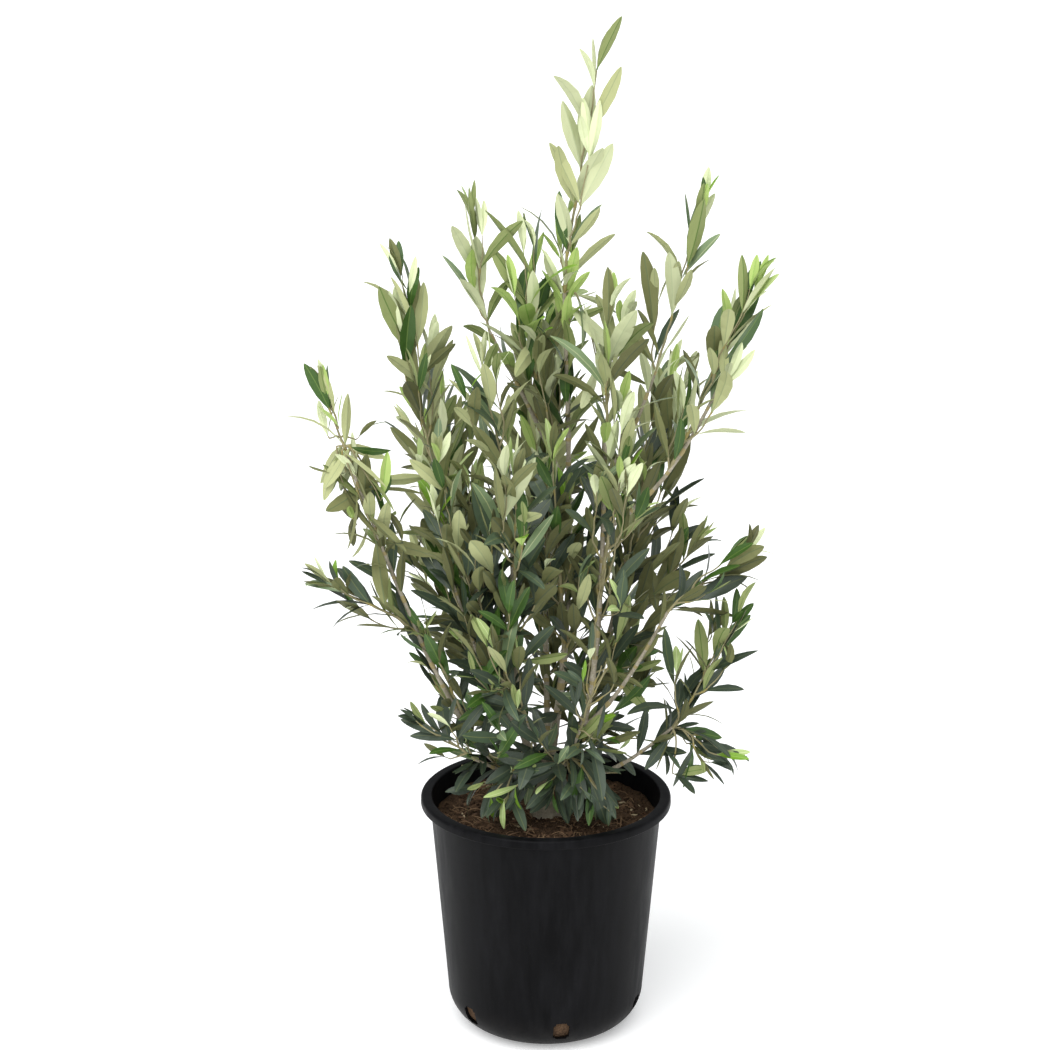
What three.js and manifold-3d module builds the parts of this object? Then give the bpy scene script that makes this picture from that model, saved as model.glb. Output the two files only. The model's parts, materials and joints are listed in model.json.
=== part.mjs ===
// A young, bushy potted olive tree, in millimetres with +Z up.
// The origin is the centre of the container's flat underside. -Y is the front and +X is the front's right.
// A short stem stands in the container's soil and forks low into thin stems and boughs. Each bough carries
// one or more masses of foliage, and every mass is one closed, uneven plume along its own line of growth.
import * as THREE from "three";
import { mergeVertices } from "three/addons/utils/BufferGeometryUtils.js";
import Module from "manifold-3d";

const wasm = await Module();
wasm.setup();

// ---- driving dimensions ---------------------------------------------------------------------------------

const TOUCH_GAP = 0.35; // clear space kept between neighbouring solids

const POT = {
  height: 269,
  rimRadius: 140, // to the outside of the lip
  wallTopRadius: 130.6, // outside of the wall, just under the lip
  wallFootRadius: 110.4, // outside of the wall, where the rounded foot begins
  footRound: 42,
  wall: 3,
  floor: 4,
  lipHeight: 8,
  lipRound: 2.5,
  sides: 30,
  roundSteps: 3,
};
const DRAIN = { count: 6, firstAngle: 9, width: 18, bottom: 18, top: 40, reach: 40 };
const SOIL = { wallLevel: 241, centreLevel: 246, flatRadius: 34 };

const TRUNK = {
  rise: 56,
  lean: [3, -2],
  footRadius: 19,
  neckRadius: 11.5,
  flareHeight: 0.4, // part of its rise
  rootLobes: 5,
  mesh: { sides: 10, steps: 6 },
};

const LIMB = { sides: 5, steps: 6, bend: 0.82 };
const MASS = { sides: 7, steps: 5, unevenness: 0.12, endRadius: 0.25 };

// Each limb leaves its parent at "at" (0 foot, 1 tip), heads the way of "heading" (degrees round +Z, 0 to the
// front, 90 to the right), and ends "reach" out and "rise" up from there. It turns upwards at a knee, which
// is given in parts of its reach and rise. "girth" is its diameter at the foot and at the tip.
const LIMBS = [
  // name, on, at, heading, reach, rise, knee, girth
  ["stem_middle", "trunk", 0.86, 127, 20, 545, [1.9, 0.3], [10, 4.6]],
  ["stem_right", "trunk", 0.78, 70, 64, 400, [0.95, 0.1], [9.6, 4.6]],
  ["stem_left", "trunk", 0.7, 316, 56, 320, [0.95, 0.12], [9, 4.6]],
  ["bough_left_long", "trunk", 0.6, 287, 222, 400, [0.42, 0.05], [8, 4]],
  ["bough_left_inner", "stem_left", 0.42, 285, 88, 215, [0.5, 0.3], [5.6, 3.6]],
  ["bough_left_shoulder", "stem_left", 0.8, 232, 112, 160, [0.5, 0.3], [5.4, 3.6]],
  ["bough_upper_left", "stem_middle", 0.7, 262, 88, 180, [0.4, 0.45], [5.6, 3.6]],
  ["bough_right_rising", "stem_right", 0.86, 80, 122, 165, [0.55, 0.3], [5.4, 3.8]],
  ["bough_right_inner", "stem_right", 0.94, 118, 62, 110, [0.5, 0.3], [4.8, 3.6]],
  ["bough_right_low", "stem_right", 0.36, 68, 98, 150, [0.45, 0.3], [5.6, 3.6]],
  ["bough_right_foot", "trunk", 0.5, 70, 146, 92, [0.55, 0.28], [6, 3.6]],
  ["bough_left_foot", "trunk", 0.42, 306, 98, 62, [0.55, 0.55], [5.6, 3.6]],
  ["bough_front_left", "trunk", 0.8, 338, 64, 92, [0.5, 0.4], [5.6, 3.6]],
  ["bough_front_right", "trunk", 0.66, 30, 70, 84, [0.6, 0.4], [5.6, 3.6]],
  ["bough_back_left", "trunk", 0.8, 222, 150, 290, [0.5, 0.16], [8, 4]],
  ["bough_back_right", "trunk", 0.66, 136, 150, 300, [0.5, 0.16], [8, 4]],
  ["bough_back_middle", "trunk", 0.95, 182, 125, 370, [0.6, 0.2], [8, 4]],
].map(([name, on, at, heading, reach, rise, knee, girth]) => (
  { name, on, at, heading, reach, rise, knee, girth }
));

// Each mass grows from its limb at "at", with heading, reach and rise as above. "across" and "deep" are its
// half widths, to the sides and from front to back, and "belly" is the part of its length where it is widest.
const MASSES = [
  // name, on, at, heading, reach, rise, across, deep, belly
  ["foliage_top_spire", "stem_middle", 0.94, 74, 38, 338, 26, 25, 0.42],
  ["foliage_upper_middle", "stem_middle", 0.8, 150, 8, 224, 48, 50, 0.42],
  ["foliage_upper_second", "bough_upper_left", 0.3, 284, 26, 238, 26, 30, 0.5],
  ["foliage_upper_right", "stem_right", 0.9, 110, 46, 232, 28, 34, 0.5],
  ["foliage_upper_left", "bough_upper_left", 0.72, 264, 56, 202, 32, 34, 0.38],
  ["foliage_left_shoulder", "bough_left_shoulder", 0.75, 241, 70, 276, 36, 42, 0.42],
  ["foliage_left_high", "stem_left", 0.94, 300, 40, 226, 32, 36, 0.5],
  ["foliage_left_wing", "bough_left_long", 0.78, 279, 86, 246, 35, 38, 0.5],
  ["foliage_left_low_wing", "bough_left_long", 0.72, 285, 116, 76, 19, 26, 0.6],
  ["foliage_left_lower", "bough_left_long", 0.44, 287, 56, 136, 22, 28, 0.5],
  ["foliage_left_tuft", "bough_left_foot", 0.8, 291, 87, 71, 28, 34, 0.55],
  ["foliage_left_middle", "bough_left_inner", 0.3, 278, 66, 290, 44, 46, 0.5],
  ["foliage_middle", "stem_middle", 0.35, 344, 59, 256, 42, 46, 0.5],
  ["foliage_right_middle", "stem_right", 0.52, 70, 34, 330, 42, 44, 0.5],
  ["foliage_right_inner", "bough_right_inner", 0.8, 106, 66, 228, 27, 32, 0.34],
  ["foliage_right_outer", "bough_right_rising", 0.58, 80, 92, 216, 41, 38, 0.46],
  ["foliage_right_wing", "bough_right_low", 0.85, 86, 112, 114, 25, 36, 0.5],
  ["foliage_right_low", "bough_right_foot", 0.85, 87, 92, 155, 36, 38, 0.5],
  ["foliage_right_tuft", "bough_right_foot", 0.68, 73, 116, 16, 31, 32, 0.55],
  ["foliage_skirt_left", "bough_front_left", 0.5, 312, 84, -46, 24, 26, 0.5],
  ["foliage_skirt_right", "bough_front_right", 0.6, 46, 74, -46, 27, 30, 0.5],
  ["foliage_front_left", "bough_front_left", 0.8, 318, 64, 122, 40, 34, 0.5],
  ["foliage_front_right", "bough_front_right", 0.8, 36, 56, 122, 46, 34, 0.5],
  ["foliage_front_left_high", "stem_left", 0.75, 2, 111, 237, 46, 38, 0.5],
  ["foliage_front_right_high", "stem_right", 0.7, 9, 119, 199, 44, 38, 0.5],
  ["foliage_back_left", "bough_back_left", 0.75, 225, 98, 263, 60, 54, 0.5],
  ["foliage_back_right", "bough_back_right", 0.75, 136, 96, 275, 60, 54, 0.5],
  ["foliage_back_middle", "bough_back_middle", 0.7, 177, 58, 303, 58, 52, 0.5],
  ["foliage_back_low_left", "bough_back_left", 0.45, 223, 104, 60, 34, 38, 0.5],
  ["foliage_back_low_right", "bough_back_right", 0.45, 132, 104, 60, 34, 38, 0.5],
  ["foliage_back_wing", "bough_back_middle", 0.5, 182, 130, 130, 46, 40, 0.5],
  ["foliage_back_tuft", "bough_back_middle", 0.35, 180, 96, 20, 34, 34, 0.5],
  ["foliage_back_left_side", "bough_back_left", 0.6, 262, 92, 130, 36, 38, 0.5],
  ["foliage_back_right_side", "bough_back_right", 0.6, 98, 112, 150, 36, 38, 0.5],
].map(([name, on, at, heading, reach, rise, across, deep, belly]) => (
  { name, on, at, heading, reach, rise, across, deep, belly }
));

const COLOURS = {
  plastic: { color: 0x1d1d20, roughness: 0.55 },
  soil: { color: 0x3a291c, roughness: 0.95 },
  bark: { color: 0x8d8672, roughness: 0.8 },
  leaf: { color: 0x566b4c, roughness: 0.6 },
};

// ---- solids ---------------------------------------------------------------------------------------------

const UP = new THREE.Vector3(0, 0, 1);
const DEPTH = new THREE.Vector3(0, 1, 0);

// Turns a closed geometry into a solid that can be joined and cut.
function toSolid(geometry) {
  const shape = geometry.clone();
  shape.deleteAttribute("normal");
  shape.deleteAttribute("uv");
  const merged = mergeVertices(shape, 1e-4);
  return new wasm.Manifold(new wasm.Mesh({
    numProp: 3,
    vertProperties: new Float32Array(merged.attributes.position.array),
    triVerts: new Uint32Array(merged.index.array),
  }));
}

// Cuts the solid with others and keeps the largest piece that is left.
function cutBy(solid, cutters) {
  let rest = solid;
  for (const cutter of cutters) {
    rest = rest.subtract(cutter);
  }
  const pieces = rest.decompose();
  pieces.sort((a, b) => b.volume() - a.volume());
  return pieces[0];
}

function toMesh(name, solid, finish) {
  const { vertProperties, triVerts } = solid.getMesh();
  const geometry = new THREE.BufferGeometry();
  geometry.setAttribute("position", new THREE.BufferAttribute(vertProperties, 3));
  geometry.setIndex(new THREE.BufferAttribute(triVerts, 1));
  geometry.computeVertexNormals();
  const mesh = new THREE.Mesh(geometry, new THREE.MeshStandardMaterial(finish));
  mesh.name = name;
  return mesh;
}

// A closed body along a curve. "skin" gives the distance from the curve to the surface at a part of the
// length and an angle round it, as [to the side, to the back]. The ends are closed by low domes.
function sweptBody({ curve, sides, steps, skin, grow = 0, dome = 0 }) {
  const corners = [];
  const faces = [];
  for (let step = 0; step <= steps; step += 1) {
    const along = step / steps;
    const centre = curve.getPoint(along);
    const forward = curve.getTangent(along);
    const back = DEPTH.clone().addScaledVector(forward, -DEPTH.dot(forward)).normalize();
    const side = back.clone().cross(forward);
    for (let corner = 0; corner < sides; corner += 1) {
      const angle = (corner / sides) * Math.PI * 2;
      const [sideways, backwards] = skin(along, angle);
      corners.push(centre.clone()
        .addScaledVector(side, Math.cos(angle) * (sideways + grow))
        .addScaledVector(back, Math.sin(angle) * (backwards + grow)));
    }
  }
  const footCentre = corners.length;
  corners.push(curve.getPoint(0).addScaledVector(curve.getTangent(0), -dome - grow));
  const tipCentre = corners.length;
  corners.push(curve.getPoint(1).addScaledVector(curve.getTangent(1), dome + grow));
  for (let corner = 0; corner < sides; corner += 1) {
    const next = (corner + 1) % sides;
    for (let step = 0; step < steps; step += 1) {
      const ring = step * sides;
      faces.push(ring + corner, ring + next, ring + sides + next);
      faces.push(ring + corner, ring + sides + next, ring + sides + corner);
    }
    faces.push(footCentre, next, corner);
    faces.push(tipCentre, steps * sides + corner, steps * sides + next);
  }
  const geometry = new THREE.BufferGeometry().setFromPoints(corners);
  geometry.setIndex(faces);
  return geometry;
}

// Turns a profile of [radius, level] points round +Z.
function turned(profile, sides) {
  const points = profile.map(([radius, level]) => new THREE.Vector2(radius, level));
  return new THREE.LatheGeometry(points, sides).rotateX(Math.PI / 2);
}

// Points of a quarter circle in a profile, from one angle to another, in degrees.
function arc(centreRadius, centreLevel, round, from, to, steps) {
  const points = [];
  for (let step = 0; step <= steps; step += 1) {
    const angle = THREE.MathUtils.degToRad(from + ((to - from) * step) / steps);
    points.push([centreRadius + round * Math.cos(angle), centreLevel + round * Math.sin(angle)]);
  }
  return points;
}

// ---- container and soil ---------------------------------------------------------------------------------

const footCentre = POT.wallFootRadius - POT.footRound;
const innerRound = POT.footRound - POT.wall;
const lipFoot = POT.height - POT.lipHeight;
const innerTop = { radius: POT.wallTopRadius - POT.wall, level: POT.height - POT.lipRound };
const innerFoot = { radius: POT.wallFootRadius - POT.wall, level: POT.floor + innerRound };

function potSolid() {
  const profile = [
    [0, 0],
    ...arc(footCentre, POT.footRound, POT.footRound, -90, 0, POT.roundSteps),
    [POT.wallTopRadius, lipFoot],
    ...arc(POT.rimRadius - POT.lipRound, lipFoot + POT.lipRound, POT.lipRound, -60, 0, 1),
    ...arc(POT.rimRadius - POT.lipHeight / 2, POT.height - POT.lipHeight / 2, POT.lipHeight / 2, 15, 90, 2),
    [innerTop.radius, innerTop.level],
    ...arc(footCentre, innerFoot.level, innerRound, 0, -90, POT.roundSteps),
    [0, POT.floor],
  ];
  return cutBy(toSolid(turned(profile, POT.sides)), drainCutters());
}

// The drain openings go through the rounded foot, evenly spaced round it.
function drainCutters() {
  const cutters = [];
  for (let index = 0; index < DRAIN.count; index += 1) {
    const angle = THREE.MathUtils.degToRad(DRAIN.firstAngle - 90 + (index * 360) / DRAIN.count);
    const middle = POT.wallFootRadius - POT.footRound * 0.25;
    const opening = new THREE.BoxGeometry(DRAIN.reach, DRAIN.width, DRAIN.top - DRAIN.bottom);
    opening.translate(middle, 0, (DRAIN.top + DRAIN.bottom) / 2);
    cutters.push(toSolid(opening.rotateZ(angle)));
  }
  return cutters;
}

function soilSolid() {
  const upTheWall = (SOIL.wallLevel - innerFoot.level) / (innerTop.level - innerFoot.level);
  const edgeRadius = THREE.MathUtils.lerp(innerFoot.radius, innerTop.radius, upTheWall) - TOUCH_GAP;
  const soilRound = innerRound - TOUCH_GAP;
  const profile = [
    [0, POT.floor + TOUCH_GAP],
    ...arc(footCentre, innerFoot.level, soilRound, -90, 0, POT.roundSteps),
    [edgeRadius, SOIL.wallLevel],
    [SOIL.flatRadius, SOIL.centreLevel],
    [0, SOIL.centreLevel],
  ];
  return toSolid(turned(profile, POT.sides));
}

// ---- trunk, stems and boughs ----------------------------------------------------------------------------

const trunkFoot = new THREE.Vector3(0, 0, SOIL.centreLevel + TOUCH_GAP);
const trunkLean = new THREE.Vector3(TRUNK.lean[0], TRUNK.lean[1], 0);
const trunkTop = trunkFoot.clone().add(trunkLean).addScaledVector(UP, TRUNK.rise);
const trunkMiddle = trunkFoot.clone().addScaledVector(UP, TRUNK.rise / 2);

// The curve of each limb by name, so that later limbs and masses can grow from it.
const growth = { trunk: new THREE.QuadraticBezierCurve3(trunkFoot, trunkMiddle, trunkTop) };

// The way out from the middle for a heading in degrees round +Z, with 0 to the front and 90 to the right.
function outward(heading) {
  const angle = THREE.MathUtils.degToRad(heading);
  return new THREE.Vector3(Math.sin(angle), -Math.cos(angle), 0);
}

// The end of a growth that starts at a point and heads out and up.
function grownTo(start, { heading, reach, rise }, outPart = 1, upPart = 1) {
  return start.clone()
    .addScaledVector(outward(heading), reach * outPart)
    .addScaledVector(UP, rise * upPart);
}

function trunkSkin(along, angle) {
  const flare = Math.max(0, 1 - along / TRUNK.flareHeight) ** 2;
  const lobes = 1 + 0.12 * flare * Math.cos(TRUNK.rootLobes * angle);
  const radius = (TRUNK.neckRadius + (TRUNK.footRadius - TRUNK.neckRadius) * flare) * lobes;
  return [radius, radius];
}

function trunkBody(grow) {
  return toSolid(sweptBody({ curve: growth.trunk, ...TRUNK.mesh, skin: trunkSkin, grow }));
}

function limbCurve(limb) {
  const foot = growth[limb.on].getPoint(limb.at);
  const knee = grownTo(foot, limb, limb.knee[0], limb.knee[1]);
  const tip = grownTo(foot, limb);
  const leaving = foot.clone().lerp(knee, LIMB.bend);
  const arriving = tip.clone().lerp(knee, LIMB.bend);
  return new THREE.CubicBezierCurve3(foot, leaving, arriving, tip);
}

function limbBody(limb, grow) {
  const [footGirth, tipGirth] = limb.girth;
  const skin = (along) => {
    const radius = (footGirth + (tipGirth - footGirth) * along) / 2;
    return [radius, radius];
  };
  const { sides, steps } = LIMB;
  return toSolid(sweptBody({ curve: growth[limb.name], sides, steps, skin, grow }));
}

// ---- foliage --------------------------------------------------------------------------------------------

// A plume: narrow at both ends, widest at its belly, and uneven all round in its own way.
function massBody(mass, order, grow) {
  const foot = growth[mass.on].getPoint(mass.at);
  const tip = grownTo(foot, mass);
  const swell = Math.log(0.5) / Math.log(mass.belly);
  const skin = (along, angle) => {
    const fullness = MASS.endRadius + (1 - MASS.endRadius) * Math.sin(Math.PI * along ** swell) ** 0.8;
    const wideLumps = Math.sin(2 * angle + 1.7 * order + 5 * along);
    const smallLumps = Math.sin(3 * angle - 2.3 * order - 9 * along);
    const uneven = fullness * (1 + MASS.unevenness * (wideLumps + smallLumps));
    return [mass.across * uneven, mass.deep * uneven];
  };
  const dome = Math.min(mass.across, mass.deep) * MASS.endRadius * 0.7;
  return toSolid(sweptBody({
    curve: new THREE.LineCurve3(foot, tip),
    sides: MASS.sides,
    steps: MASS.steps,
    skin,
    grow,
    dome,
  }));
}

// ---- assembly -------------------------------------------------------------------------------------------

const plant = new THREE.Group();
plant.add(toMesh("pot", potSolid(), COLOURS.plastic));
plant.add(toMesh("soil", soilSolid(), COLOURS.soil));
plant.add(toMesh("trunk", trunkBody(0), COLOURS.bark));

const cutters = [trunkBody(TOUCH_GAP)];
for (const limb of LIMBS) {
  growth[limb.name] = limbCurve(limb);
  plant.add(toMesh(limb.name, cutBy(limbBody(limb, 0), cutters), COLOURS.bark));
  cutters.push(limbBody(limb, TOUCH_GAP));
}
MASSES.forEach((mass, order) => {
  plant.add(toMesh(mass.name, cutBy(massBody(mass, order, 0), cutters), COLOURS.leaf));
  cutters.push(massBody(mass, order, TOUCH_GAP));
});

export default plant;
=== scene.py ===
# A young potted olive tree: a round black nursery pot full of peaty soil, a short trunk with thin stems and
# boughs, and a bushy crown of twigs and narrow leaves that grow on from the boughs. Metres, +Z up, -Y front.
import json
import math
import random

import bmesh
import bpy
import numpy as np
from mathutils import Matrix, Vector, noise
from mathutils.bvhtree import BVHTree


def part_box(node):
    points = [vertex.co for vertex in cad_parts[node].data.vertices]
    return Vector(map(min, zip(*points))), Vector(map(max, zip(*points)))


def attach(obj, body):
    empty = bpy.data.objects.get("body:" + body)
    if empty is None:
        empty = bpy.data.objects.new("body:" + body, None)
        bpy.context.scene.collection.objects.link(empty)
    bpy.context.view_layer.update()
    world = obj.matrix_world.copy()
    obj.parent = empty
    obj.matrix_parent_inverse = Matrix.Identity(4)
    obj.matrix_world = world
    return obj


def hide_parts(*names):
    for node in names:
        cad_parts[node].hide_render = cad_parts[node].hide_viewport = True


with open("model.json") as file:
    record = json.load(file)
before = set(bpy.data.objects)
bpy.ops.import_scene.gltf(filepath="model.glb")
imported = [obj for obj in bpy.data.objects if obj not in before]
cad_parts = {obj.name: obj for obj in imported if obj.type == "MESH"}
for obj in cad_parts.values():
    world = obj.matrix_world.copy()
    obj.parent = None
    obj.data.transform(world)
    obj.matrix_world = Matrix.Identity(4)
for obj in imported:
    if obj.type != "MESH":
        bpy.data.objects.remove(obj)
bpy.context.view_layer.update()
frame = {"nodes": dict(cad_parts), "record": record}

# ---- sizes and places -------------------------------------------------------------------------------------

UP = Vector((0, 0, 1))
GROWTH_SEED = 11

CAMERA = {"place": (-0.0232, -2.8, 1.4106), "down": 16.54, "lens": 92.8, "sensor": 36.0}

POT_LOW, POT_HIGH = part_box("pot")
POT_HEIGHT = POT_HIGH.z
RIM_RADIUS = (POT_HIGH.x - POT_LOW.x) / 2
POT = {
    "wall_top": RIM_RADIUS - 0.0094,
    "wall_foot": RIM_RADIUS * 0.789,
    "wall": 0.003,
    "floor": 0.004,
    "foot_round": 0.042,
    "lip_drop": 0.0085,
    "lip_round": 0.0032,
    "sides": 144,
    "dusty_height": 0.05,
}
DRAIN = {"count": 6, "first": 9, "width": 0.018, "low": 0.018, "high": 0.040, "deep": 0.04}
SOIL_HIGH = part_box("soil")[1]
SOIL = {"level": SOIL_HIGH.z - 0.003, "lump": 0.0045, "rings": 44, "sides": 120}
# The least distances from a leaf's tip to the pot's wall, the soil and the rim.
CLEAR = {"wall": 0.006, "soil": 0.004, "rim": 0.003}
TRUNK = {"radius": 0.0115, "flare": 0.0085, "grain": 0.0006, "under_soil": 0.012, "sides": 28, "rings": 26}
# Knots swell a limb or a twig by a part of its girth, over a short stretch.
LIMB = {
    "first_knot": 0.04,
    "knot_gap": 0.028,
    "swell": 0.16,
    "knot_reach": 0.0028,
    "sides": 10,
    "bark": 0.0012,
}
TWIG = {
    "radius": 0.0012,
    "tip_radius": 0.0005,
    "point_gap": 0.011,
    "pull": 0.36,  # how strongly its curve keeps to its first and last direction, as a part of its reach
    "wobble": 0.0007,
    "mesh_gap": 0.0055,
    "swell": 0.4,
    "knot_reach": 0.003,
    "sides": 5,
}

# A leaf of unit length. Widths are half widths, as parts of its length.
LEAF = {
    "stations": (0.0, 0.06, 0.16, 0.36, 0.6, 0.8, 0.92, 0.98, 1.0),
    "stalk": 0.06,
    "half_width": 0.119,
    "rib": 0.008,
    "thickness": 0.009,
}
LEAF_FORMS = [
    # bend, fold, twist, curl
    (0.25, 0.25, 0.0, 0.0),
    (0.7, 0.15, 0.25, 0.05),
    (-0.35, 0.35, -0.2, -0.04),
    (0.45, 0.1, -0.5, 0.07),
    (0.1, 0.45, 0.4, -0.08),
    (1.0, 0.2, 0.1, 0.02),
]

# The foliage masses that each piece of leaves stands for, by the second word of the mass's name.
LEAF_PIECES = {
    "leaves_upper": ("top", "upper"),
    "leaves_left": ("left",),
    "leaves_right": ("middle", "right"),
    "leaves_front": ("skirt", "front"),
    "leaves_back": ("back",),
}
LEAF_KINDS = ("old", "mature", "sage", "silver", "green", "young", "tip")


# ---- meshes and node trees --------------------------------------------------------------------------------

def add_node(tree, kind, inputs=None, **settings):
    """Adds a node. inputs maps a socket's name or number to a value, or to another node's output."""
    node = tree.nodes.new(kind)
    for name, value in settings.items():
        setattr(node, name, value)
    for name, value in (inputs or {}).items():
        if isinstance(value, bpy.types.NodeSocket):
            tree.links.new(value, node.inputs[name])
        else:
            node.inputs[name].default_value = value
    return node


def new_tree(name, kind, inputs, outputs):
    """A node group with named sockets. inputs and outputs map a name to a socket type or (type, default)."""
    tree = bpy.data.node_groups.new(name, kind)
    for direction, sockets in (("INPUT", inputs), ("OUTPUT", outputs)):
        for label, form in sockets.items():
            kind_of, default = form if isinstance(form, tuple) else (form, None)
            socket = tree.interface.new_socket(label, in_out=direction, socket_type="NodeSocket" + kind_of)
            if default is not None:
                socket.default_value = default
    return tree, tree.nodes.new("NodeGroupInput").outputs, tree.nodes.new("NodeGroupOutput").inputs


def maths(tree, operation, *values, clamp=False):
    """The output of a Math node."""
    node = add_node(tree, "ShaderNodeMath", dict(enumerate(values)), operation=operation, use_clamp=clamp)
    return node.outputs[0]


def attribute(tree, name, kind):
    """The output of a Named Attribute node."""
    node = add_node(tree, "GeometryNodeInputNamedAttribute", {"Name": name}, data_type=kind)
    return node.outputs["Attribute"]


def finished(tree, geometry, finish, selection=True):
    """Gives a material to a geometry, or to the selected part of it."""
    return add_node(tree, "GeometryNodeSetMaterial", {
        "Geometry": geometry, "Selection": selection, "Material": finish}).outputs[0]


def run_tree(base, tree, values, name):
    """Runs a Geometry Nodes tree on an object with these named inputs, and keeps only the resulting mesh."""
    modifier = base.modifiers.new(tree.name, "NODES")
    modifier.node_group = tree
    for item in tree.interface.items_tree:
        if item.item_type == "SOCKET" and item.in_out == "INPUT" and item.name in values:
            modifier[item.identifier] = values[item.name]
    base.update_tag()
    return show(name, settled(base, name))


def show(name, mesh):
    """A mesh as an object of the scene."""
    mesh.name = name
    piece = bpy.data.objects.new(name, mesh)
    bpy.context.scene.collection.objects.link(piece)
    return piece


def ring_faces(rings, sides):
    """The faces between rings of corners that follow each other."""
    faces = []
    for ring in range(rings - 1):
        low, high = ring * sides, (ring + 1) * sides
        for side in range(sides):
            after = (side + 1) % sides
            faces.append((low + side, low + after, high + after, high + side))
    return faces


def settled(piece, name):
    """The mesh of an object with its modifiers applied. The object itself goes."""
    graph = bpy.context.evaluated_depsgraph_get()
    mesh = bpy.data.meshes.new_from_object(piece.evaluated_get(graph), depsgraph=graph)
    bpy.data.objects.remove(piece)
    mesh.name = name
    return mesh


def mesh_from(form, name):
    """The mesh of a bmesh, which is then given up."""
    mesh = bpy.data.meshes.new(name)
    form.to_mesh(mesh)
    form.free()
    return mesh


def mesh_of(name, corners, faces=(), edges=()):
    """A mesh of these corners, faces and edges."""
    mesh = bpy.data.meshes.new(name)
    mesh.from_pydata([tuple(corner)[:3] for corner in corners], edges, faces)
    mesh.update()
    return mesh


def give_values(mesh, name, kind, values, domain="POINT"):
    """Stores one value, or one vector, for each point or face of a mesh."""
    store = mesh.attributes.new(name, kind, domain)
    store.data.foreach_set("vector" if kind == "FLOAT_VECTOR" else "value", np.ravel(values))


def finish_piece(piece, slot, *nodes):
    """Says what a piece rides on and the nodes that it replaces. The slot is not used."""
    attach(piece, "root")
    if nodes:
        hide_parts(*nodes)
    return piece


# ---- shader groups ----------------------------------------------------------------------------------------

def place_of(tree):
    """Where a point of a surface lies, in metres."""
    return add_node(tree, "ShaderNodeTexCoord").outputs["Object"]


def mottle_group():
    """Soft patches from 0 to 1 over a surface. Stretch lengthens them along Z."""
    tree, given, result = new_tree(
        "Mottle", "ShaderNodeTree",
        {"Scale": ("Float", 40.0), "Stretch": ("Float", 1.0), "Contrast": ("Float", 2.0)}, {"Mask": "Float"})
    squeeze = add_node(tree, "ShaderNodeCombineXYZ", {"X": 1.0, "Y": 1.0, "Z": given["Stretch"]})
    moved = add_node(tree, "ShaderNodeVectorMath", {
        0: place_of(tree), 1: squeeze.outputs[0]}, operation="DIVIDE")
    patches = add_node(tree, "ShaderNodeTexNoise", {
        "Vector": moved.outputs[0], "Scale": given["Scale"], "Detail": 6.0, "Roughness": 0.6})
    centred = maths(tree, "SUBTRACT", patches.outputs["Fac"], 0.5)
    tree.links.new(maths(tree, "MULTIPLY_ADD", centred, given["Contrast"], 0.5, clamp=True), result["Mask"])
    return tree


def relief_group():
    """A fine uneven surface as a normal."""
    tree, given, result = new_tree(
        "Relief", "ShaderNodeTree",
        {"Scale": ("Float", 400.0), "Depth": ("Float", 0.0005), "Strength": ("Float", 0.5)},
        {"Normal": "Vector"})
    grain = add_node(tree, "ShaderNodeTexNoise", {
        "Vector": place_of(tree), "Scale": given["Scale"], "Detail": 4.0})
    bump = add_node(tree, "ShaderNodeBump", {
        "Height": grain.outputs["Fac"], "Distance": given["Depth"], "Strength": given["Strength"]})
    tree.links.new(bump.outputs[0], result["Normal"])
    return tree


def vein_group():
    """The midrib's groove and the faint side veins of a leaf, along its own map, as a normal."""
    tree, given, result = new_tree(
        "Leaf veins", "ShaderNodeTree",
        {"Centre": ("Float", 0.25), "Depth": ("Float", 0.0004), "Veins": ("Float", 90.0)},
        {"Normal": "Vector"})
    leaf_map = add_node(tree, "ShaderNodeUVMap", uv_map="OFBake")
    places = add_node(tree, "ShaderNodeSeparateXYZ", {0: leaf_map.outputs[0]})
    off_centre = maths(tree, "ABSOLUTE", maths(tree, "SUBTRACT", places.outputs["X"], given["Centre"]))
    groove = maths(tree, "MULTIPLY", off_centre, 14.0, clamp=True)
    slanted = maths(tree, "MULTIPLY_ADD", off_centre, -1.6, places.outputs["Y"])
    veins = maths(tree, "SINE", maths(tree, "MULTIPLY", slanted, given["Veins"]))
    height = maths(tree, "MULTIPLY_ADD", veins, 0.12, groove)
    bump = add_node(tree, "ShaderNodeBump", {"Height": height, "Distance": given["Depth"], "Strength": 0.6})
    tree.links.new(bump.outputs[0], result["Normal"])
    return tree


GROUPS = {"Mottle": mottle_group(), "Relief": relief_group(), "Leaf veins": vein_group()}


def group(tree, name, **values):
    """Places a shader group with its own values and returns its first output."""
    node = tree.nodes.new("ShaderNodeGroup")
    node.node_tree = GROUPS[name]
    for label, value in values.items():
        node.inputs[label].default_value = value
    return node.outputs[0]


def mixed(tree, mask, first, second):
    """A colour between two, by a mask from 0 to 1."""
    ends = [end if isinstance(end, bpy.types.NodeSocket) else (*end, 1) for end in (first, second)]
    node = add_node(tree, "ShaderNodeMix", {0: mask, 6: ends[0], 7: ends[1]}, data_type="RGBA")
    return node.outputs[2]


def material(name, colour, roughness, specular):
    """A plain material, its node tree and its Principled shader."""
    made = bpy.data.materials.new(name)
    made.use_nodes = True
    shader = made.node_tree.nodes["Principled BSDF"]
    shader.inputs["Base Color"].default_value = (*colour, 1)
    shader.inputs["Roughness"].default_value = roughness
    shader.inputs["Specular IOR Level"].default_value = specular
    return made, made.node_tree, shader


# ---- finishes ---------------------------------------------------------------------------------------------

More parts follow.
